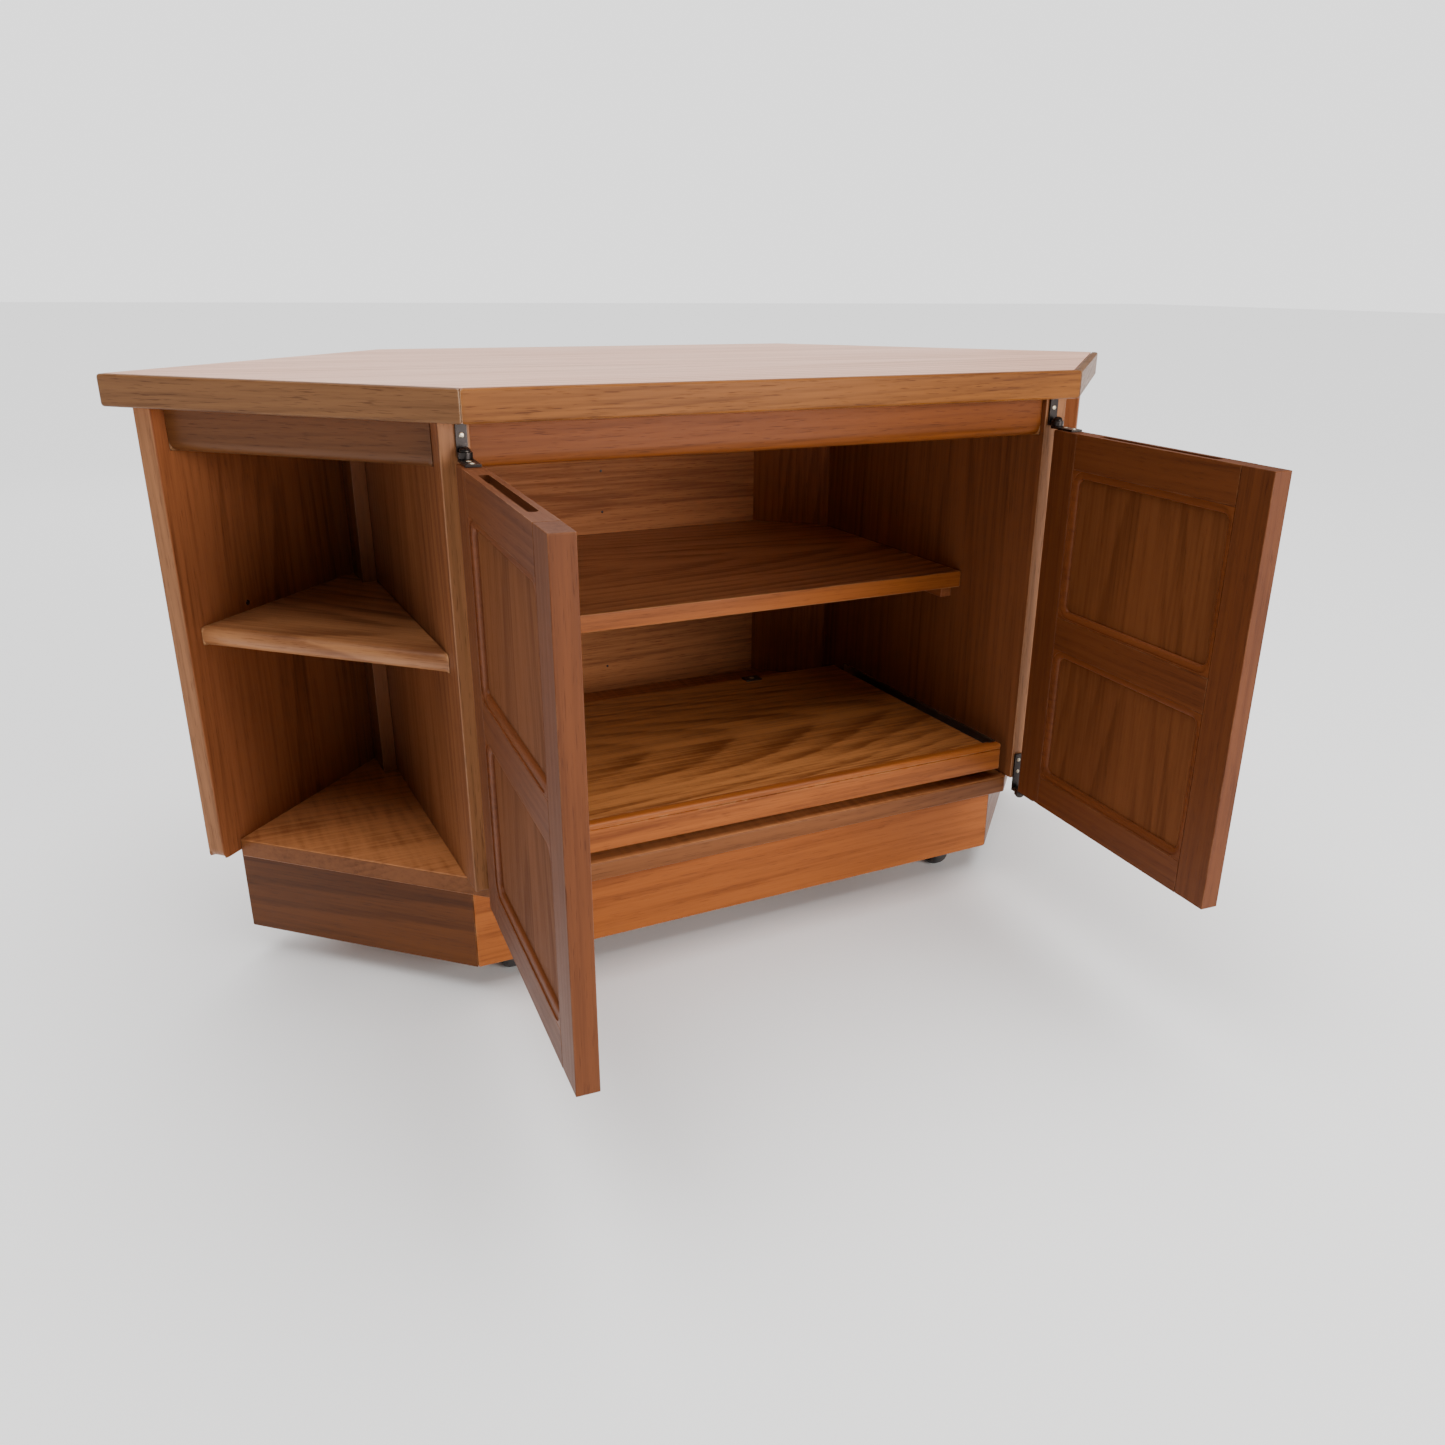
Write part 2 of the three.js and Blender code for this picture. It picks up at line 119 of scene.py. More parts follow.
grainValues = dict(
    # noise cycles per metre along, across and through the board
    bendStretch=(1.1, 4.0, 4.0), frayStretch=(7, 130, 130), unevenStretch=(1.5, 24, 24),
    stripeStretch=(1.6, 62, 62), fibreStretch=(5, 210, 210), fineStretch=(16, 620, 620),
    bandStretch=(0.9, 13, 13), poreStretch=(55, 1150, 1150), shimmerStretch=(150, 14, 14),
    heartDepth=28 * mm, fray=0.45,
    # a ring darkens slowly and ends sharply, and some rings are fainter
    ringStart=(0.20, 0.84), ringEnd=(1.0, 0.86), uneven=(0.32, 0.66, 0.25, 1.0),
    fibre=(0.28, 0.74), band=(0.30, 0.72), pore=(0.60, 0.72), bandAmount=0.30, fineAmount=0.30,
    tone=(0.05, 1.25), toneRoughness=(0.10, -0.05), fibreHeight=0.35, poreDepth=0.65)


def makeTeakGrain():
    # grain runs along X of the vector, the board's thickness is Z
    group, given, out = newGroup("teakGrain", [
        ("Vector", "NodeSocketVector", (0, 0, 0)),
        ("Light", "NodeSocketColor", (0.4, 0.2, 0.1, 1)),
        ("Dark", "NodeSocketColor", (0.2, 0.1, 0.05, 1)),
        ("Rings", "NodeSocketFloat", 90.0),
        ("Taper", "NodeSocketFloat", 0.04),
        ("Wander", "NodeSocketFloat", 0.04),
        ("Figure", "NodeSocketFloat", 0.5),
        ("Streaks", "NodeSocketFloat", 0.5),
        ("Pores", "NodeSocketFloat", 0.5),
        ("Ripple", "NodeSocketFloat", 0.0),
    ], [("Color", "NodeSocketColor"), ("Roughness", "NodeSocketFloat"), ("Height", "NodeSocketFloat")])
    n = ShaderNodes(group)
    values = grainValues
    at = given.outputs["Vector"]
    bend = n.streaks(at, values["bendStretch"], 1.0)
    wander = n.math("MULTIPLY", n.math("SUBTRACT", bend, 0.5), given.outputs["Wander"])
    split = group.nodes.new("ShaderNodeSeparateXYZ")
    group.links.new(at, split.inputs[0])
    # growth rings are slim cones round the heart, cut lengthwise by the board
    across = n.math("ADD", split.outputs["Y"], wander)
    depth = n.math("ADD", split.outputs["Z"], values["heartDepth"])
    squares = n.math("ADD", n.math("MULTIPLY", across, across), n.math("MULTIPLY", depth, depth))
    radius = n.math("SQRT", squares)
    radius = n.math("ADD", radius, n.math("MULTIPLY", split.outputs["X"], given.outputs["Taper"]))
    fray = n.math("MULTIPLY", n.streaks(at, values["frayStretch"], 2.0), values["fray"])
    ring = n.math("FRACT", n.math("ADD", n.math("MULTIPLY", radius, given.outputs["Rings"]), fray))
    late = n.math("MULTIPLY", n.span(ring, *values["ringStart"]), n.span(ring, *values["ringEnd"]))
    late = n.math("MULTIPLY", late, n.span(n.streaks(at, values["unevenStretch"], 1.0), *values["uneven"]))
    stripe = n.streaks(at, values["stripeStretch"], 2.0, 0.6)
    fibre = n.streaks(at, values["fibreStretch"], 4.0, 0.65)
    fine = n.streaks(at, values["fineStretch"], 2.0)
    band = n.streaks(at, values["bandStretch"], 2.0)
    pore = n.span(n.streaks(at, values["poreStretch"], 1.0), *values["pore"])
    shimmer = n.streaks(at, values["shimmerStretch"], 1.0)
    tone = n.math("MULTIPLY", late, given.outputs["Figure"])
    for shade, amount in (
        (n.span(fibre, *values["fibre"]), given.outputs["Streaks"]),
        (n.span(band, *values["band"]), values["bandAmount"]),
        (n.math("SUBTRACT", stripe, 0.5), given.outputs["Streaks"]),
        (n.math("SUBTRACT", fine, 0.5), values["fineAmount"]),
        (n.math("SUBTRACT", shimmer, 0.5), given.outputs["Ripple"]),
        (pore, given.outputs["Pores"]),
    ):
        tone = n.math("ADD", tone, n.math("MULTIPLY", shade, amount))
    tone = n.span(tone, *values["tone"])
    color = n.mix(tone, given.outputs["Light"], given.outputs["Dark"])
    group.links.new(color, out.inputs["Color"])
    group.links.new(n.math("MULTIPLY_ADD", tone, *values["toneRoughness"]), out.inputs["Roughness"])
    raised = n.math("MULTIPLY", fibre, values["fibreHeight"])
    height = n.math("SUBTRACT", raised, n.math("MULTIPLY", pore, values["poreDepth"]))
    group.links.new(height, out.inputs["Height"])
    return group


wearValues = dict(samples=4, corner=(0.985, 0.80), patch=(34.0, 5.0, 0.7), patchSpan=(0.42, 0.62))


def makeEdgeWear():
    # a mask on rubbed arrises, broken up along their length
    group, given, out = newGroup("edgeWear", [
        ("Vector", "NodeSocketVector", (0, 0, 0)),
        ("Width", "NodeSocketFloat", 0.0018),
        ("Amount", "NodeSocketFloat", 0.5),
    ], [("Mask", "NodeSocketFloat")])
    n = ShaderNodes(group)
    bevel = group.nodes.new("ShaderNodeBevel")
    bevel.samples = wearValues["samples"]
    group.links.new(given.outputs["Width"], bevel.inputs["Radius"])
    geometry = group.nodes.new("ShaderNodeNewGeometry")
    likeness = group.nodes.new("ShaderNodeVectorMath")
    likeness.operation = "DOT_PRODUCT"
    group.links.new(bevel.outputs[0], likeness.inputs[0])
    group.links.new(geometry.outputs["True Normal"], likeness.inputs[1])
    edge = n.span(likeness.outputs["Value"], *wearValues["corner"])
    patch = n.noise(given.outputs["Vector"], *wearValues["patch"])
    rub = n.span(patch, *wearValues["patchSpan"])
    mask = n.math("MULTIPLY", n.math("MULTIPLY", edge, rub), given.outputs["Amount"])
    group.links.new(mask, out.inputs["Mask"])
    return group


handlingValues = dict(patch=(7.0, 5.0, 0.6), speck=(420.0, 1.0), speckSpan=(0.70, 0.78))


def makeHandling():
    # soft patches and faint dust where a polish has gone uneven
    group, given, out = newGroup("handling", [
        ("Vector", "NodeSocketVector", (0, 0, 0)),
        ("Amount", "NodeSocketFloat", 0.1),
    ], [("Roughness", "NodeSocketFloat"), ("Mask", "NodeSocketFloat")])
    n = ShaderNodes(group)
    patch = n.noise(given.outputs["Vector"], *handlingValues["patch"])
    rough = n.math("MULTIPLY", n.math("SUBTRACT", patch, 0.5), given.outputs["Amount"])
    speck = n.noise(given.outputs["Vector"], *handlingValues["speck"])
    speck = n.span(speck, *handlingValues["speckSpan"])
    group.links.new(rough, out.inputs["Roughness"])
    group.links.new(n.math("MULTIPLY", speck, given.outputs["Amount"]), out.inputs["Mask"])
    return group


teakGrain = makeTeakGrain()
edgeWear = makeEdgeWear()
handling = makeHandling()

# Wood of each kind of board: what a look leaves out it takes from plainWood
plainWood = dict(ripple=0.0, coat=0.0, taper=0.045, wander=0.045, gloss=0.14)
woodLooks = {
    # the top's pale colours are partly the wood's own tone and partly painted sheen of its glossy surface
    "top": dict(light=(0.880, 0.520, 0.380), dark=(0.600, 0.320, 0.215), rub=(0.62, 0.40, 0.26),
                rings=60, figure=0.5, streaks=0.55, pores=0.30, heart=0.10,
                rough=0.45, wear=0.5, gloss=0.4),
    "lipping": dict(light=(0.235, 0.078, 0.012), dark=(0.098, 0.029, 0.005), rub=(0.64, 0.42, 0.26),
                    rings=130, figure=0.35, streaks=0.50, pores=0.55, heart=0.25,
                    rough=0.42, wear=0.9),
    "wing": dict(light=(0.185, 0.083, 0.032), dark=(0.085, 0.032, 0.012), rub=(0.60, 0.42, 0.28),
                 rings=130, figure=0.35, streaks=0.50, pores=0.55, heart=0.25,
                 rough=0.40, coat=0.05, wear=0.9),
    "carcass": dict(light=(0.300, 0.100, 0.036), dark=(0.125, 0.035, 0.012), rub=(0.46, 0.24, 0.10),
                    rings=80, figure=0.3, streaks=0.45, pores=0.35, heart=0.06, taper=0.08, wander=0.06,
                    rough=0.42, coat=0.05, wear=0.5),
    "apron": dict(light=(0.185, 0.050, 0.008), dark=(0.092, 0.023, 0.004), rub=(0.52, 0.30, 0.14),
                  rings=120, figure=0.30, streaks=0.45, pores=0.55, heart=0.20,
                  rough=0.42, wear=0.5),
    "shelf": dict(light=(0.440, 0.195, 0.080), dark=(0.170, 0.060, 0.023), rub=(0.58, 0.32, 0.14),
                  rings=55, figure=0.5, streaks=0.45, pores=0.35, ripple=0.10, heart=0.03,
                  taper=0.12, wander=0.08,
                  rough=0.36, coat=0.15, wear=0.5),
    "base": dict(light=(0.460, 0.180, 0.066), dark=(0.210, 0.070, 0.024), rub=(0.60, 0.36, 0.18),
                 rings=85, figure=0.30, streaks=0.45, pores=0.35, ripple=1.00, heart=0.15,
                 rough=0.40, coat=0.10, wear=0.3),
    "plinth": dict(light=(0.330, 0.094, 0.018), dark=(0.125, 0.030, 0.006), rub=(0.56, 0.32, 0.14),
                   rings=40, figure=0.38, streaks=0.40, pores=0.30, heart=0.16,
                   rough=0.42, coat=0.05, wear=0.5),
    # the wings' aprons are darker than the front apron: partly the wood's own tone, partly painted shade on the
    # side-facing boards
    "cornerApron": dict(light=(0.120, 0.044, 0.014), dark=(0.060, 0.019, 0.006), rub=(0.40, 0.22, 0.11),
                        rings=120, figure=0.30, streaks=0.45, pores=0.55, heart=0.20,
                        rough=0.42, coat=0.05, wear=0.5),
    # the plinth's side returns are darker than its front: partly the wood's own tone, partly painted shade on the
    # side-facing boards
    "plinthReturn": dict(light=(0.125, 0.037, 0.007), dark=(0.053, 0.015, 0.004), rub=(0.40, 0.20, 0.09),
                         rings=40, figure=0.45, streaks=0.40, pores=0.30, heart=0.16,
                         rough=0.42, coat=0.05, wear=0.5),
    # darker than the carcass wood: painted shade on the uprights' sides and the corner battens inside the bay
    "upright": dict(light=(0.210, 0.073, 0.026), dark=(0.095, 0.028, 0.010), rub=(0.40, 0.22, 0.11),
                    rings=80, figure=0.30, streaks=0.45, pores=0.35, heart=0.06,
                    rough=0.42, coat=0.05, wear=0.4),
    "foreEdge": dict(light=(0.300, 0.125, 0.050), dark=(0.150, 0.056, 0.021), rub=(0.50, 0.32, 0.19),
                     rings=140, figure=0.25, streaks=0.50, pores=0.55, heart=0.25,
                     rough=0.40, coat=0.05, wear=0.6),
    "baseEdge": dict(light=(0.190, 0.066, 0.021), dark=(0.095, 0.030, 0.009), rub=(0.50, 0.30, 0.16),
                     rings=140, figure=0.25, streaks=0.45, pores=0.50, heart=0.25,
                     rough=0.42, wear=0.5),
    "tray": dict(light=(0.52, 0.205, 0.062), dark=(0.15, 0.042, 0.011), rub=(0.58, 0.32, 0.14),
                 rings=46, figure=0.42, streaks=0.5, pores=0.35, ripple=0.15, heart=0.02,
                 taper=0.20, wander=0.13,
                 rough=0.36, coat=0.15, wear=0.5),
    "moulding": dict(light=(0.160, 0.045, 0.013), dark=(0.075, 0.020, 0.006), rub=(0.30, 0.11, 0.05),
                     rings=110, figure=0.20, streaks=0.35, pores=0.25, heart=0.22,
                     rough=0.42, wear=0.08),
    "frame": dict(light=(0.135, 0.040, 0.012), dark=(0.058, 0.015, 0.005), rub=(0.40, 0.19, 0.09),
                  rings=110, figure=0.25, streaks=0.45, pores=0.35, heart=0.22,
                  rough=0.48, wear=0.45),
    "panel": dict(light=(0.160, 0.052, 0.016), dark=(0.090, 0.026, 0.007), rub=(0.40, 0.18, 0.07),
                  rings=52, figure=0.38, streaks=0.50, pores=0.30, heart=0.01, taper=0.12,
                  rough=0.58, wear=0.2, gloss=0.08),
    "back": dict(light=(0.500, 0.190, 0.070), dark=(0.250, 0.082, 0.030), rub=(0.44, 0.22, 0.10),
                 rings=95, figure=0.3, streaks=0.7, pores=0.60, heart=0.05,
                 rough=0.55, wear=0.2),
}

# How a board lies: the turns, in degrees, that bring the grain's axes to it
stances = {"flat": (0, 0, 0), "edge": (90, 0, 0), "upright": (90, 0, 90)}


def startMaterial(name):
    material = bpy.data.materials.new(name)
    material.use_nodes = True
    shader = material.node_tree.nodes["Principled BSDF"]
    place = material.node_tree.nodes.new("ShaderNodeTexCoord")
    return material, material.node_tree, shader, place.outputs["Object"]


def placeGroup(tree, group, **values):
    node = tree.nodes.new("ShaderNodeGroup")
    node.node_tree = group
    for label, value in values.items():
        socket = node.inputs[label]
        if hasattr(value, "is_linked"):
            tree.links.new(value, socket)
        else:
            socket.default_value = value
    return node


def addBump(tree, shader, height, strength, distance):
    bump = tree.nodes.new("ShaderNodeBump")
    bump.inputs["Strength"].default_value = strength
    bump.inputs["Distance"].default_value = distance
    tree.links.new(height, bump.inputs["Height"])
    tree.links.new(bump.outputs[0], shader.inputs["Normal"])


woodFinish = dict(seed=0, heartAlong=0.2, heartAcross=0.02, handling=0.16, bump=0.25, bumpDepth=0.4 * mm,
                  coatRoughness=0.22)


def wood(name, node, look, stance, yaw=0.0):
    # the heart of the grain is set out from the centre of the node's board
    values = {**plainWood, **woodLooks[look]}
    material, tree, shader, at = startMaterial(name)
    n = ShaderNodes(tree)
    chance = random.Random(f"{name}{woodFinish['seed']}")
    turn = tree.nodes.new("ShaderNodeMapping")
    turn.inputs["Rotation"].default_value = (0, 0, math.radians(-yaw))
    tree.links.new(at, turn.inputs["Vector"])
    lay = tree.nodes.new("ShaderNodeMapping")
    angles = [math.radians(a) for a in stances[stance]]
    lay.inputs["Rotation"].default_value = angles
    low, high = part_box(node)
    centre = Matrix.Rotation(math.radians(-yaw), 3, "Z") @ ((low + high) / 2)
    along = chance.uniform(-woodFinish["heartAlong"], woodFinish["heartAlong"])
    across = values["heart"] + chance.uniform(-woodFinish["heartAcross"], woodFinish["heartAcross"])
    heart = Vector((along, across, 0))
    lay.inputs["Location"].default_value = heart - Euler(angles).to_matrix() @ centre
    tree.links.new(turn.outputs[0], lay.inputs["Vector"])
    shares = {label.title(): values[label] for label in
              ("rings", "figure", "taper", "wander", "streaks", "pores", "ripple")}
    grain = placeGroup(tree, teakGrain, Vector=lay.outputs[0], Light=(*values["light"], 1),
                       Dark=(*values["dark"], 1), **shares)
    wear = placeGroup(tree, edgeWear, Vector=at, Amount=values["wear"])
    touch = placeGroup(tree, handling, Vector=at, Amount=woodFinish["handling"])
    color = n.mix(wear.outputs["Mask"], grain.outputs["Color"], (*values["rub"], 1))
    tree.links.new(color, shader.inputs["Base Color"])
    rough = n.math("ADD", grain.outputs["Roughness"], touch.outputs["Roughness"])
    tree.links.new(n.math("ADD", rough, values["rough"]), shader.inputs["Roughness"])
    addBump(tree, shader, grain.outputs["Height"], woodFinish["bump"], woodFinish["bumpDepth"])
    shader.inputs["Specular IOR Level"].default_value = values["gloss"]
    shader.inputs["Coat Weight"].default_value = values["coat"]
    shader.inputs["Coat Roughness"].default_value = woodFinish["coatRoughness"]
    return material


def boardWood(node, finish, part="wood"):
    return wood(f"{part}_{node}", node, *finish)


metalLooks = {
    "bronze": dict(color=(0.035, 0.028, 0.026), worn=(0.30, 0.26, 0.22), metallic=0.85, rough=0.34, wear=0.9),
    "steel": dict(color=(0.46, 0.45, 0.43), worn=(0.70, 0.69, 0.66), metallic=1.0, rough=0.36, wear=0.5),
    "screw": dict(color=(0.50, 0.43, 0.32), worn=(0.78, 0.70, 0.56), metallic=1.0, rough=0.32, wear=0.6),
    "tyre": dict(color=(0.030, 0.027, 0.026), worn=(0.16, 0.15, 0.14), metallic=0.0, rough=0.52, wear=0.8),
}
metalFinish = dict(wearWidth=0.6 * mm, handling=0.30, dust=(0.20, 0.16, 0.13, 1), pitting=(260.0, 3.0),
                   bump=0.15, bumpDepth=0.3 * mm)


def plainFinish(name):
    values = metalLooks[name]
    material, tree, shader, at = startMaterial(name)
    n = ShaderNodes(tree)
    wear = placeGroup(tree, edgeWear, Vector=at, Width=metalFinish["wearWidth"], Amount=values["wear"])
    touch = placeGroup(tree, handling, Vector=at, Amount=metalFinish["handling"])
    color = n.mix(wear.outputs["Mask"], (*values["color"], 1), (*values["worn"], 1))
    color = n.mix(touch.outputs["Mask"], color, metalFinish["dust"])
    tree.links.new(color, shader.inputs["Base Color"])
    tree.links.new(n.math("ADD", touch.outputs["Roughness"], values["rough"]), shader.inputs["Roughness"])
    shader.inputs["Metallic"].default_value = values["metallic"]
    pitting = n.noise(at, *metalFinish["pitting"])
    addBump(tree, shader, pitting, metalFinish["bump"], metalFinish["bumpDepth"])
    return material


finishes = {name: plainFinish(name) for name in metalLooks}
print("finishes done")

meshValues = dict(weld=0.01 * mm, flatAngle=1, bevelAngle=30, nearFace=1 * mm, squareOn=0.9)


def newPiece(name, mesh, material, body, replaces=()):
    data = bpy.data.meshes.new(name)
    mesh.normal_update()
    mesh.to_mesh(data)
    mesh.free()
    piece = bpy.data.objects.new(name, data)
    bpy.context.scene.collection.objects.link(piece)
    data.materials.append(material)
    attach(piece, body)
    if replaces:
        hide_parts(*replaces)
    return piece


def smoothByAngle(piece, degrees=50):
    for polygon in piece.data.polygons:
        polygon.use_smooth = True
    piece.data.set_sharp_from_angle(angle=math.radians(degrees))


def softenEdges(piece, width, segments=3, byWeight=False):
    weld = piece.modifiers.new("weld", "WELD")
    weld.merge_threshold = meshValues["weld"]
    bevel = piece.modifiers.new("soften", "BEVEL")
    bevel.width = width
    bevel.segments = segments
    bevel.limit_method = "WEIGHT" if byWeight else "ANGLE"
    bevel.angle_limit = math.radians(meshValues["bevelAngle"])
    bevel.harden_normals = True
    for polygon in piece.data.polygons:
        polygon.use_smooth = True
    normals = piece.modifiers.new("normals", "WEIGHTED_NORMAL")
    normals.keep_sharp = True


def coverEdge(piece, node, strip, onStrip):
    # the faces that onStrip picks are covered with a strip of their own wood
    if strip:
        piece.data.materials.append(boardWood(node, strip, "strip"))
        for polygon in piece.data.polygons:
            polygon.material_index = 1 if onStrip(polygon) else 0


def keepBoard(node, finish, width=1.0 * mm, segments=3, strip=None, onStrip=None):
    # finish is a material, or the look, stance and yaw of this board's wood
    piece = nodes[node]
    piece.data.materials.clear()
    piece.data.materials.append(boardWood(node, finish) if isinstance(finish, tuple) else finish)
    coverEdge(piece, node, strip, onStrip)
    softenEdges(piece, width, segments)
    return piece


def roundedBoard(node, name, finish, radius, pick, fine=1.0 * mm, segments=6, strip=None, onStrip=None):
    # the CAD board's outline, with the edges that pick chooses rounded further
    material = boardWood(node, finish)
    mesh = bmesh.new()
    mesh.from_mesh(nodes[node].data)
    bmesh.ops.remove_doubles(mesh, verts=mesh.verts, dist=meshValues["weld"])
    flat = math.radians(meshValues["flatAngle"])
    bmesh.ops.dissolve_limit(mesh, angle_limit=flat, verts=mesh.verts, edges=mesh.edges)
    weights = mesh.edges.layers.float.new("bevel_weight_edge")
    for edge in mesh.edges:
        edge[weights] = 1.0 if pick(edge) else fine / radius
    piece = newPiece(name, mesh, material, bodyOf[node], (node,))
    coverEdge(piece, node, strip, onStrip)
    softenEdges(piece, radius, segments, byWeight=True)
    return piece


def frontness(point):
    # largest on a wing's front line
    return abs(point.x) - point.y


def wingFront(node):
    return max(frontness(v.co) for v in nodes[node].data.vertices) - meshValues["nearFace"]


def skin(rings, capped=False):
    # rings of points joined into a skin: a capped skin has two ends, any other closes on itself
    mesh = bmesh.new()
    rows = [[mesh.verts.new(p) for p in ring] for ring in rings]
    count = len(rows[0])
    for i in range(len(rows) - 1 if capped else len(rows)):
        a, b = rows[i], rows[(i + 1) % len(rows)]
        for k in range(count):
            m = (k + 1) % count
            mesh.faces.new((a[k], a[m], b[m], b[k]))
    if capped:
        mesh.faces.new(list(reversed(rows[0])))
        mesh.faces.new(rows[-1])
    bmesh.ops.recalc_face_normals(mesh, faces=mesh.faces)
    return mesh


def circle(matrix, radius, height, steps):
    # points round the matrix's Z
    angles = [2 * math.pi * k / steps for k in range(steps)]
    return [matrix @ Vector((radius * math.cos(a), radius * math.sin(a), height)) for a in angles]


def turned(profile, matrix, segments=32):
    # (radius, height) points turned about the matrix's Z; the ends close on the axis
    mesh = bmesh.new()
    rows = []
    for radius, height in profile:
        if radius < meshValues["weld"]:
            ring = [matrix @ Vector((0, 0, height))]
        else:
            ring = circle(matrix, radius, height, segments)
        rows.append([mesh.verts.new(point) for point in ring])
    for a, b in zip(rows, rows[1:]):
        for k in range(segments):
            m = (k + 1) % segments
            corners = [a[k % len(a)], a[m % len(a)], b[m % len(b)], b[k % len(b)]]
            unique = list(dict.fromkeys(corners))
            if len(unique) > 2:
                mesh.faces.new(unique)
    bmesh.ops.recalc_face_normals(mesh, faces=mesh.faces)
    return mesh


def joinMeshes(meshes):
    whole = bmesh.new()
    for mesh in meshes:
        data = bpy.data.meshes.new("part")
        mesh.to_mesh(data)
        mesh.free()
        whole.from_mesh(data)
        bpy.data.meshes.remove(data)
    return whole


def facing(centre, normal):
    return Matrix.Translation(centre) @ Vector(normal).to_track_quat("Z", "Y").to_matrix().to_4x4()


screwValues = dict(dome=0.28, slotWidth=0.22, slotDepth=0.18, skirt=0.12, rim=0.25, shoulder=(0.86, 0.72),
                   crown=0.6, steps=24)


def screwHead(centre, normal, radius, turn=0.6):
    # a low domed head with one slot across it
    matrix = facing(centre, normal) @ Matrix.Rotation(turn, 4, "Z")
    values = screwValues
    dome = radius * values["dome"]
    half = radius * values["slotWidth"] / 2
    sunk = radius * values["slotDepth"]
    steps = values["steps"]
    outline = ((1.0, -values["skirt"] * radius), (1.0, values["rim"] * dome),
               (values["shoulder"][0], values["shoulder"][1] * dome), (values["crown"], dome))
    mesh = bmesh.new()
    rows = []
    for share, height in outline:
        row = []
        for point in circle(Matrix(), share * radius, height, steps):
            if abs(point.y) < half and height > 0:
                point.z -= sunk
            row.append(mesh.verts.new(matrix @ point))
        rows.append(row)
    for a, b in zip(rows, rows[1:]):
        for k in range(steps):
            m = (k + 1) % steps
            mesh.faces.new((a[k], a[m], b[m], b[k]))
    # the crown is closed by a cap on each side of the slot, and the slot between them
    crown = rows[-1]
    upper = crown[1:steps // 2]
    lower = crown[steps // 2 + 1:]
    mesh.faces.new(upper)
    mesh.faces.new(lower)
    mesh.faces.new((crown[0], upper[0], upper[-1], crown[steps // 2], lower[0], lower[-1]))
    bmesh.ops.recalc_face_normals(mesh, faces=mesh.faces)
    return mesh


boardValues = dict(arris=1.2 * mm, topArris=2.2 * mm, veneerArris=0.5 * mm, baseArris=1.6 * mm,
                   shelfArris=1.4 * mm, backArris=0.4 * mm, apronRound=10 * mm, shelfRound=8.6 * mm,
                   panelFoot=11 * mm, panelFront=1.75 * mm)


def makeTop():
    # the top board's pale wood colour holds painted sheen as well as the wood's tone
    keepBoard("top_board", ("top", "flat"), boardValues["veneerArris"])
    keepBoard("top_lipping_front", ("lipping", "edge"), boardValues["topArris"], segments=4)
    for name, side in sides.items():
        keepBoard(f"top_lipping_{name}", ("wing", "edge", 45 * side), boardValues["topArris"], segments=4)


def facesFront(face):
    return face.normal.y < -meshValues["squareOn"]


def facesSideways(face):
    return abs(face.normal.z) < 1 - meshValues["squareOn"]


def onFront(edge, line):
    return all(frontness(v.co) > line for v in edge.verts)


def atLevel(edge, z):
    return all(abs(v.co.z - z) < meshValues["nearFace"] for v in edge.verts)


def makeWing(name, side):
    panel = f"side_panel_{name}"
    panelLine = wingFront(panel)
    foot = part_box(panel)[0].z
    roundedBoard(panel, f"sidePanel_{name}", ("carcass", "upright", -45 * side), boardValues["panelFoot"],
                 lambda edge: onFront(edge, panelLine) and atLevel(edge, foot),
                 fine=boardValues["panelFront"], strip=("foreEdge", "upright", 45 * side),
                 onStrip=lambda face: frontness(face.center) > panelLine)
    apron = f"corner_apron_{name}"
    apronLine = wingFront(apron)
    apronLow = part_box(apron)[0].z
    # the wing apron's darker wood is partly painted shade
    roundedBoard(apron, f"cornerApron_{name}", ("cornerApron", "edge", 45 * side), boardValues["apronRound"],
                 lambda edge: onFront(edge, apronLine) and atLevel(edge, apronLow))
    shelf = f"corner_shelf_{name}"
    shelfLine = wingFront(shelf)
    roundedBoard(shelf, f"cornerShelf_{name}", ("shelf", "flat", 45 * side), boardValues["shelfRound"],
                 lambda edge: onFront(edge, shelfLine) and atLevel(edge, edge.verts[0].co.z))


def makeCarcass():
    arris = boardValues["arris"]
    for name, side in sides.items():
        # the uprights' sides and the battens carry painted shade in their darker wood, and the front strip keeps
        # the lighter tone
        keepBoard(f"upright_{name}", ("upright", "upright", 90), arris, strip=("foreEdge", "upright"),
                  onStrip=facesFront)
        keepBoard(f"corner_batten_{name}", ("upright", "upright"), arris)
        keepBoard(f"shelf_cleat_{name}", ("carcass", "edge", 90), arris)
        makeWing(name, side)
    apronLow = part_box("front_apron")[0]
    frontLine = apronLow.y + meshValues["nearFace"]
    roundedBoard("front_apron", "frontApron", ("apron", "edge"), boardValues["apronRound"],
                 lambda edge: atLevel(edge, apronLow.z) and all(v.co.y < frontLine for v in edge.verts))
    keepBoard("base_board", ("base", "flat"), boardValues["baseArris"], strip=("baseEdge", "edge"),
              onStrip=facesSideways)
    keepBoard("centre_shelf", ("shelf", "flat"), boardValues["shelfArris"], strip=("plinth", "edge"),
              onStrip=facesFront)
    keepBoard("back_panel", ("back", "edge"), boardValues["backArris"])


def makePlinth():
    arris = boardValues["arris"]
    keepBoard("plinth_front", ("plinth", "edge"), arris)
    keepBoard("plinth_back", ("plinth", "edge"), arris)
    for name, side in sides.items():
        # the returns' darker wood is partly painted shade
        keepBoard(f"plinth_{name}", ("plinthReturn", "edge", 45 * side), arris)
    for row in ("front", "rear"):
        keepBoard(f"caster_rail_{row}", ("back", "edge"), arris)


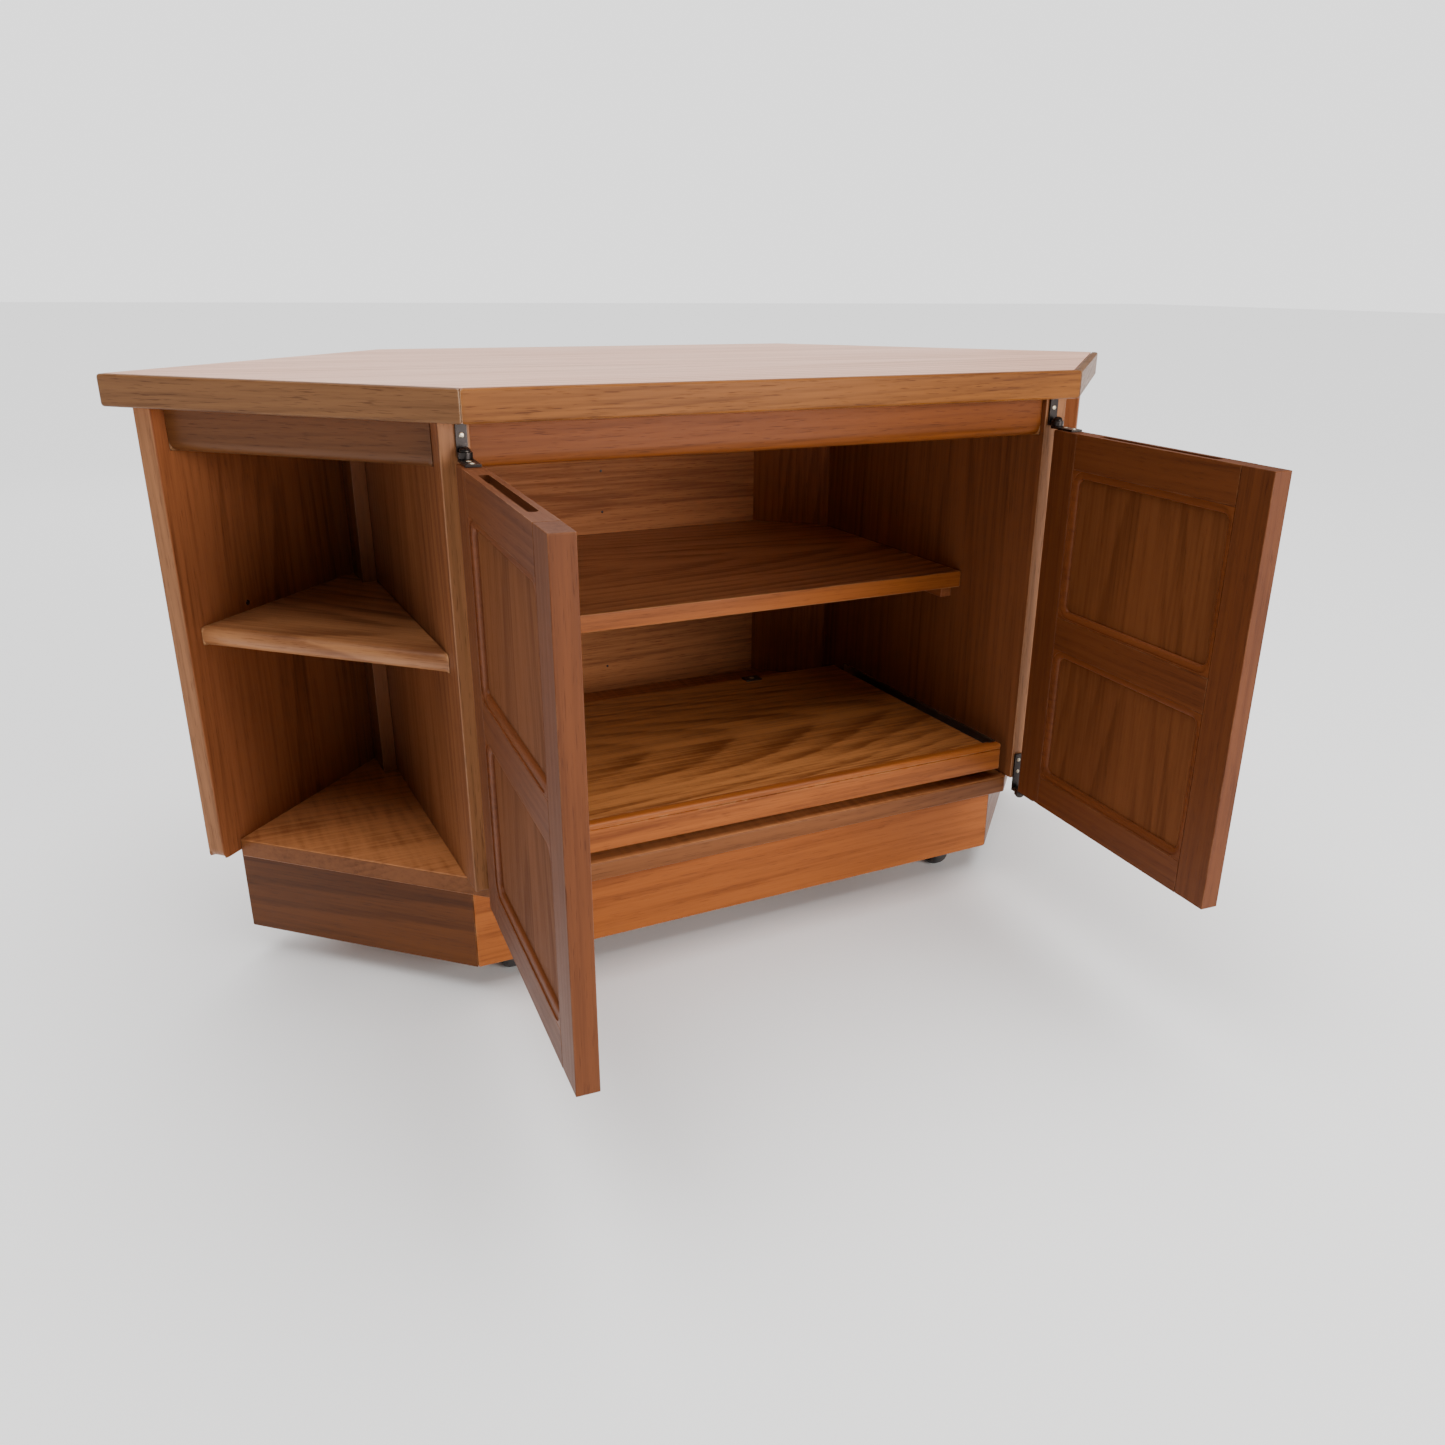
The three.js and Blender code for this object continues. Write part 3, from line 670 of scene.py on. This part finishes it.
makeTop()
makeCarcass()
makePlinth()
print("top, carcass and plinth done")

doorValues = dict(arris=0.9 * mm, railArris=0.3 * mm, panelArris=0.3 * mm, faceGap=0.12 * mm,
                  mouldWidth=7.5 * mm, step=0.8 * mm, quirk=1.3 * mm, ovoloSteps=7,
                  cornerRadius=15 * mm, squareCorner=0.1 * mm, cornerSteps=10)


def doorFrame(name):
    # door space: X from the pivot to the free edge of the shut door, Y to the back, Z up
    joint = jointOf[f"door_{name}_hinge"]
    side = sides[name]
    angle = -math.radians(joint["range_deg"][0])
    pivot = Matrix.Translation(Vector((joint["pos_m"][0], joint["pos_m"][1], 0)))
    return pivot @ Matrix.Rotation(side * angle, 4, "Z") @ Matrix.Diagonal((-side, 1, 1, 1))


def doorBox(matrix, node):
    back = matrix.inverted()
    points = [back @ v.co for v in nodes[node].data.vertices]
    return [Vector([pick(p[i] for p in points) for i in range(3)]) for pick in (min, max)]


def mouldingProfile(drop):
    # (inset, depth) points of an ovolo that falls from the frame's face by drop to the panel
    values = doorValues
    into = 1 if drop > 0 else -1
    gap = into * values["faceGap"]
    quirk = into * values["quirk"]
    profile = [(0.0, drop), (0.0, gap), (values["step"], gap), (values["step"], quirk)]
    reach = values["mouldWidth"] - values["step"]
    for k in range(values["ovoloSteps"] + 1):
        turn = math.pi / 2 * k / values["ovoloSteps"]
        profile.append((values["step"] + reach * math.sin(turn),
                        quirk + (drop - 2 * quirk) * (1 - math.cos(turn))))
    profile.append((values["mouldWidth"], drop))
    return profile


def roundedRing(matrix, low, high, inset, y):
    # one turn round the recess, square on its outer edge and rounder inside it
    values = doorValues
    radius = values["cornerRadius"] - inset if inset > 0 else values["squareCorner"]
    reach = inset + radius
    ring = []
    for x, z, start in ((high.x - reach, high.z - reach, 0), (low.x + reach, high.z - reach, 90),
                        (low.x + reach, low.z + reach, 180), (high.x - reach, low.z + reach, 270)):
        for k in range(values["cornerSteps"] + 1):
            turn = math.radians(start + 90 * k / values["cornerSteps"])
            ring.append(matrix @ Vector((x + radius * math.cos(turn), y, z + radius * math.sin(turn))))
    return ring


def recessMoulding(matrix, low, high, faceY, panelY):
    profile = mouldingProfile(panelY - faceY)
    return skin([roundedRing(matrix, low, high, inset, faceY + depth) for inset, depth in profile])


def makeDoor(name):
    matrix = doorFrame(name)
    yaw = math.degrees(math.atan2(matrix.col[0].y, matrix.col[0].x))
    for part in ("hinge_stile", "free_stile"):
        keepBoard(f"door_{name}_{part}", ("frame", "upright", yaw), doorValues["arris"])
    for part in ("top_rail", "middle_rail", "bottom_rail"):
        keepBoard(f"door_{name}_{part}", ("frame", "edge", yaw), doorValues["railArris"])
    faceLow, faceHigh = doorBox(matrix, f"door_{name}_hinge_stile")
    mouldWood = wood(f"moulding_{name}", f"door_{name}_middle_rail", "moulding", "edge", yaw)
    pieces = []
    for place in ("upper", "lower"):
        node = f"door_{name}_{place}_panel"
        keepBoard(node, ("panel", "upright", yaw), doorValues["panelArris"])
        low, high = doorBox(matrix, node)
        pieces.append(recessMoulding(matrix, low, high, faceLow.y, low.y))
        pieces.append(recessMoulding(matrix, low, high, faceHigh.y, high.y))
    piece = newPiece(f"recessMoulding_{name}", joinMeshes(pieces), mouldWood, f"door_{name}")
    smoothByAngle(piece, 40)


for name in sides:
    makeDoor(name)
print("doors done")

hingeValues = dict(arris=0.5 * mm,
                   plateScrew=2.6 * mm, plateShares=(0.42, 0.82), plateProud=2.3 * mm, plateTurn=0.5,
                   armScrew=2.2 * mm, armShares=dict(upper=(0.62,), lower=(0.55, 0.85)), armTurn=0.9,
                   armScrewIn=2.5 * mm,
                   capRadius=4.6 * mm, capRise=3.6 * mm, capSunk=0.4 * mm, capRim=0.2 * mm, capFoot=0.6,
                   capSteps=6)


def pivotCap(pivot, up):
    # a domed cap over the pin
    values = hingeValues
    radius = values["capRadius"]
    foot = -values["capSunk"]
    profile = [(0, foot), (values["capFoot"] * radius, foot), (radius, values["capRim"])]
    for k in range(1, values["capSteps"] + 1):
        turn = math.pi / 2 * k / values["capSteps"]
        profile.append((radius * math.cos(turn), values["capRim"] + values["capRise"] * math.sin(turn)))
    return turned(profile, facing(pivot, (0, 0, up)))


def makeHinges(name):
    matrix = doorFrame(name)
    values = hingeValues
    stileLow, stileHigh = doorBox(matrix, f"door_{name}_hinge_stile")
    plateHeads = []
    armHeads = []
    for place, up in (("upper", 1), ("lower", -1)):
        plate = f"hinge_plate_{place}_{name}"
        arm = f"hinge_arm_{place}_{name}"
        keepBoard(plate, finishes["bronze"], values["arris"], segments=2)
        keepBoard(arm, finishes["bronze"], values["arris"], segments=2)
        low, high = doorBox(matrix, plate)
        plateZ = (stileHigh.z if up > 0 else stileLow.z) + up * values["plateProud"]
        for share in values["plateShares"]:
            spot = matrix @ Vector((high.x * share, 0, plateZ))
            plateHeads.append(screwHead(spot, (0, 0, up), values["plateScrew"], values["plateTurn"] + share))
        pivot = matrix @ Vector((0, 0, high.z if up > 0 else low.z))
        piece = newPiece(f"pivotCap_{place}_{name}", pivotCap(pivot, up), finishes["bronze"], f"door_{name}")
        smoothByAngle(piece)
        armLow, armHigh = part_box(arm)
        for share in values["armShares"][place]:
            spot = Vector(((armLow.x + armHigh.x) / 2, armHigh.y - values["armScrewIn"],
                           armLow.z + share * (armHigh.z - armLow.z)))
            armHeads.append(screwHead(spot, (0, -1, 0), values["armScrew"], values["armTurn"] + share))
    piece = newPiece(f"plateScrews_{name}", joinMeshes(plateHeads), finishes["screw"], f"door_{name}")
    smoothByAngle(piece)
    piece = newPiece(f"armScrews_{name}", joinMeshes(armHeads), finishes["screw"], "cabinet")
    smoothByAngle(piece)


for name in sides:
    makeHinges(name)
print("hinges done")

trayValues = dict(arris=1.2 * mm, runnerArris=0.4 * mm, beadBelowTop=6 * mm, beadWidth=1.8 * mm,
                  beadDepth=1.2 * mm, round=2.0 * mm, roundAngles=(0, 0.4, 0.8, 1.2, math.pi / 2),
                  lipFlat=8 * mm, coveSteps=8, stopWidth=22 * mm, stopLength=16 * mm, stopThick=1.6 * mm,
                  stopGap=0.05 * mm, stopOverBack=1 * mm, stopX=0.53, stopArris=0.5 * mm, stopScrew=3.2 * mm)


def makeTrayLip():
    # a rounded front with a bead groove, and a cove behind that falls to the tray's board
    low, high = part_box("tray_lip")
    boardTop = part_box("tray_board")[1].z
    front, back, bottom, top = low.y, high.y, low.z, high.z
    r = trayValues["round"]
    angles = trayValues["roundAngles"]
    groove = top - trayValues["beadBelowTop"]
    half = trayValues["beadWidth"] / 2
    points = [(back, bottom)]
    points += [(front + r - r * math.sin(a), bottom + r - r * math.cos(a)) for a in angles]
    points += [(front, groove - half), (front + trayValues["beadDepth"], groove), (front, groove + half)]
    points += [(front + r - r * math.cos(a), top - r + r * math.sin(a)) for a in angles]
    flatEnd = front + trayValues["lipFlat"]
    for k in range(trayValues["coveSteps"] + 1):
        share = k / trayValues["coveSteps"]
        y = (1 - share) ** 2 * flatEnd + 2 * share * (1 - share) * flatEnd + share ** 2 * back
        z = (1 - share) ** 2 * top + (2 * share * (1 - share) + share ** 2) * boardTop
        points.append((y, z))
    rings = [[Vector((x, y, z)) for y, z in points] for x in (low.x, high.x)]
    lipWood = wood("trayLip", "tray_lip", "plinth", "edge")
    piece = newPiece("trayLip", skin(rings, capped=True), lipWood, "tray", ("tray_lip",))
    smoothByAngle(piece, 32)


def makeTrayStop():
    # a small plate over the tray's back edge, held by one screw
    low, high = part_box("tray_board")
    values = trayValues
    width, length, thick = (values[key] for key in ("stopWidth", "stopLength", "stopThick"))
    x = low.x + (high.x - low.x) * (1 + values["stopX"]) / 2
    y = high.y - length / 2 + values["stopOverBack"]
    centre = Vector((x, y, high.z + thick / 2 + values["stopGap"]))
    plate = bmesh.new()
    bmesh.ops.create_cube(plate, size=1)
    bmesh.ops.transform(plate, matrix=Matrix.Translation(centre) @ Matrix.Diagonal((width, length, thick, 1)),
                        verts=plate.verts)
    bmesh.ops.bevel(plate, geom=plate.edges, offset=values["stopArris"], segments=2, affect="EDGES")
    smoothByAngle(newPiece("trayStop", plate, finishes["bronze"], "tray"))
    head = screwHead(centre + Vector((0, 0, thick / 2)), (0, 0, 1), values["stopScrew"])
    smoothByAngle(newPiece("trayStopScrew", head, finishes["screw"], "tray"))


def makeTray():
    makeTrayLip()
    keepBoard("tray_board", ("tray", "flat"), trayValues["arris"])
    makeTrayStop()
    for name in sides:
        keepBoard(f"tray_runner_{name}", finishes["steel"], trayValues["runnerArris"], segments=2)


makeTray()
print("tray done")

casterValues = dict(forkArris=0.5 * mm, treadWide=0.82, treadCrown=0.09, treadSteps=8, shoulder=0.80,
                    ringOut=0.72, hub=0.52, hubSunk=0.4 * mm, dish=2.2 * mm, slope=1 * mm, bore=3.3 * mm,
                    steps=40)


def wheelOutline(radius, half):
    # (radius, height) points round half of the wheel's section, from its left bore to its right one
    values = casterValues
    tread = []
    for k in range(values["treadSteps"] + 1):
        share = -1 + 2 * k / values["treadSteps"]
        crown = 1 - values["treadCrown"] * abs(share) ** 3
        tread.append((radius * crown, half * values["treadWide"] * share))
    ring = radius * values["ringOut"]
    hub = radius * values["hub"]
    dished = half - values["dish"]
    hubFace = half - values["hubSunk"]
    slope = values["slope"]
    right = [(radius * values["shoulder"], half), (ring, half), (ring - slope, dished), (hub, dished),
             (hub - slope, hubFace), (values["bore"], hubFace)]
    left = [(r, -h) for r, h in reversed(right)]
    return left + tread + right


def makeCaster(place):
    keepBoard(f"caster_fork_{place}", finishes["steel"], casterValues["forkArris"], segments=2)
    node = f"caster_wheel_{place}"
    low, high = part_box(node)
    matrix = facing((low + high) / 2, (1, 0, 0))
    outline = wheelOutline((high.z - low.z) / 2, (high.x - low.x) / 2)
    mesh = skin([circle(matrix, r, h, casterValues["steps"]) for r, h in outline])
    piece = newPiece(f"casterWheel_{place}", mesh, finishes["tyre"], f"wheel_{place}", (node,))
    smoothByAngle(piece, 40)


for row in ("front", "rear"):
    for name in sides:
        makeCaster(f"{row}_{name}")
print("casters done")

# Each pin's slot is turned by its place, so that the slots don't line up
pinValues = dict(radius=1.6 * mm, spacing=75 * mm, inset=12 * mm, middleSpacing=50.5 * mm, turns=40,
                 shelfScrew=2.6 * mm, shelfScrewIn=46 * mm, shelfScrewUp=7 * mm, shelfScrewTurn=1.0)


def makeBackPins():
    low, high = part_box("back_panel")
    inset = pinValues["inset"]
    wide = high.x - low.x - 2 * inset
    tall = high.z - low.z - 2 * inset
    countX = round(wide / pinValues["spacing"])
    countZ = round(tall / pinValues["spacing"])
    spots = []
    for k in range(countX + 1):
        for z in (low.z + inset, high.z - inset):
            spots.append((low.x + inset + wide * k / countX, z))
    for k in range(1, countZ):
        for x in (low.x + inset, high.x - inset):
            spots.append((x, low.z + inset + tall * k / countZ))
    outer = [screwHead((x, high.y, z), (0, 1, 0), pinValues["radius"], x * pinValues["turns"])
             for x, z in spots]
    inner = []  # a darkened row up the middle shows inside
    for k in range(1, int(tall / pinValues["middleSpacing"])):
        z = low.z + k * pinValues["middleSpacing"]
        inner.append(screwHead((0, low.y, z), (0, -1, 0), pinValues["radius"], z * pinValues["turns"]))
    for label, heads, finish in (("backPins", outer, "steel"), ("innerPins", inner, "bronze")):
        smoothByAngle(newPiece(label, joinMeshes(heads), finishes[finish], "cabinet"))


def makeShelfScrews():
    heads = []
    for name, side in sides.items():
        low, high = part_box(f"corner_shelf_{name}")
        panel = nodes[f"side_panel_{name}"].data.vertices
        wall = min(abs(v.co.x) + v.co.y for v in panel)
        x = abs(low.x if side < 0 else high.x) - pinValues["shelfScrewIn"]
        spot = Vector((side * x, wall - x, high.z + pinValues["shelfScrewUp"]))
        heads.append(screwHead(spot, (-side, -1, 0), pinValues["shelfScrew"], pinValues["shelfScrewTurn"]))
    piece = newPiece("shelfScrews", joinMeshes(heads), finishes["bronze"], "cabinet")
    smoothByAngle(piece)


makeBackPins()
makeShelfScrews()
print("fixings done")

stageValues = dict(half=30.0, color=(0.93, 0.93, 0.93, 1), rough=0.9)


def makeStage():
    mesh = bmesh.new()
    bmesh.ops.create_grid(mesh, x_segments=1, y_segments=1, size=stageValues["half"])
    data = bpy.data.meshes.new("floor")
    mesh.to_mesh(data)
    mesh.free()
    floor = bpy.data.objects.new("floor", data)
    bpy.context.scene.collection.objects.link(floor)
    material, tree, shader, at = startMaterial("paleFloor")
    shader.inputs["Base Color"].default_value = stageValues["color"]
    shader.inputs["Roughness"].default_value = stageValues["rough"]
    data.materials.append(material)


# The backdrop is seen brighter than it lights
lightValues = dict(
    room=0.26, seenRoom=1.6,
    sunStrength=4.6, sunSpread=75,
    areas={
        "keyFront": dict(place=(1.1, -3.0, 0.95), aim=(0.0, 0.0, 0.30), size=(1.6, 1.2), power=85,
                         color=(1.0, 0.98, 0.95)),
        "backSheen": dict(place=(0.9, 3.0, 1.5), aim=(0.0, 0.0, 0.5), size=(3.0, 1.2), power=12,
                          color=(1.0, 1.0, 1.0)),
    })


def areaLight(name, place, aim, size, power, color):
    light = bpy.data.lights.new(name, "AREA")
    light.shape = "RECTANGLE"
    light.size, light.size_y = size
    light.energy = power
    light.color = color
    lamp = bpy.data.objects.new(name, light)
    lamp.location = place
    lamp.rotation_euler = (Vector(aim) - Vector(place)).to_track_quat("-Z", "Y").to_euler()
    bpy.context.scene.collection.objects.link(lamp)


def makeLights():
    world = bpy.data.worlds.new("softRoom")
    world.use_nodes = True
    tree = world.node_tree
    background = tree.nodes["Background"]
    background.inputs["Color"].default_value = (1.0, 1.0, 1.0, 1)
    path = tree.nodes.new("ShaderNodeLightPath")
    strength = ShaderNodes(tree).math("MULTIPLY_ADD", path.outputs["Is Camera Ray"], lightValues["seenRoom"],
                                      lightValues["room"])
    tree.links.new(strength, background.inputs["Strength"])
    bpy.context.scene.world = world
    sun = bpy.data.lights.new("overhead", "SUN")
    sun.energy = lightValues["sunStrength"]
    sun.angle = math.radians(lightValues["sunSpread"])
    bpy.context.scene.collection.objects.link(bpy.data.objects.new("overhead", sun))
    for name, values in lightValues["areas"].items():
        areaLight(name, **values)


cameraValues = dict(fromCorner=(-0.2362, -0.9171, 0.0784), turn=(68.252, -0.635, -27.522), lens=29.895,
                    shift=(-0.01955, 0.02341), sensor=36)


def makeCamera():
    # it stands off the left front corner of the top
    camera = bpy.data.cameras.new("viewer")
    camera.sensor_width = cameraValues["sensor"]
    camera.lens = cameraValues["lens"]
    camera.shift_x, camera.shift_y = cameraValues["shift"]
    viewer = bpy.data.objects.new("viewer", camera)
    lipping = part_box("top_lipping_front")[0]
    corner = Vector((lipping.x, lipping.y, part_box("top_board")[1].z))
    viewer.location = corner + Vector(cameraValues["fromCorner"])
    viewer.rotation_euler = [math.radians(a) for a in cameraValues["turn"]]
    bpy.context.scene.collection.objects.link(viewer)
    bpy.context.scene.camera = viewer


makeStage()
makeLights()
makeCamera()
print("stage, lights and camera done")

bpy.context.view_layer.update()
print("scene done")
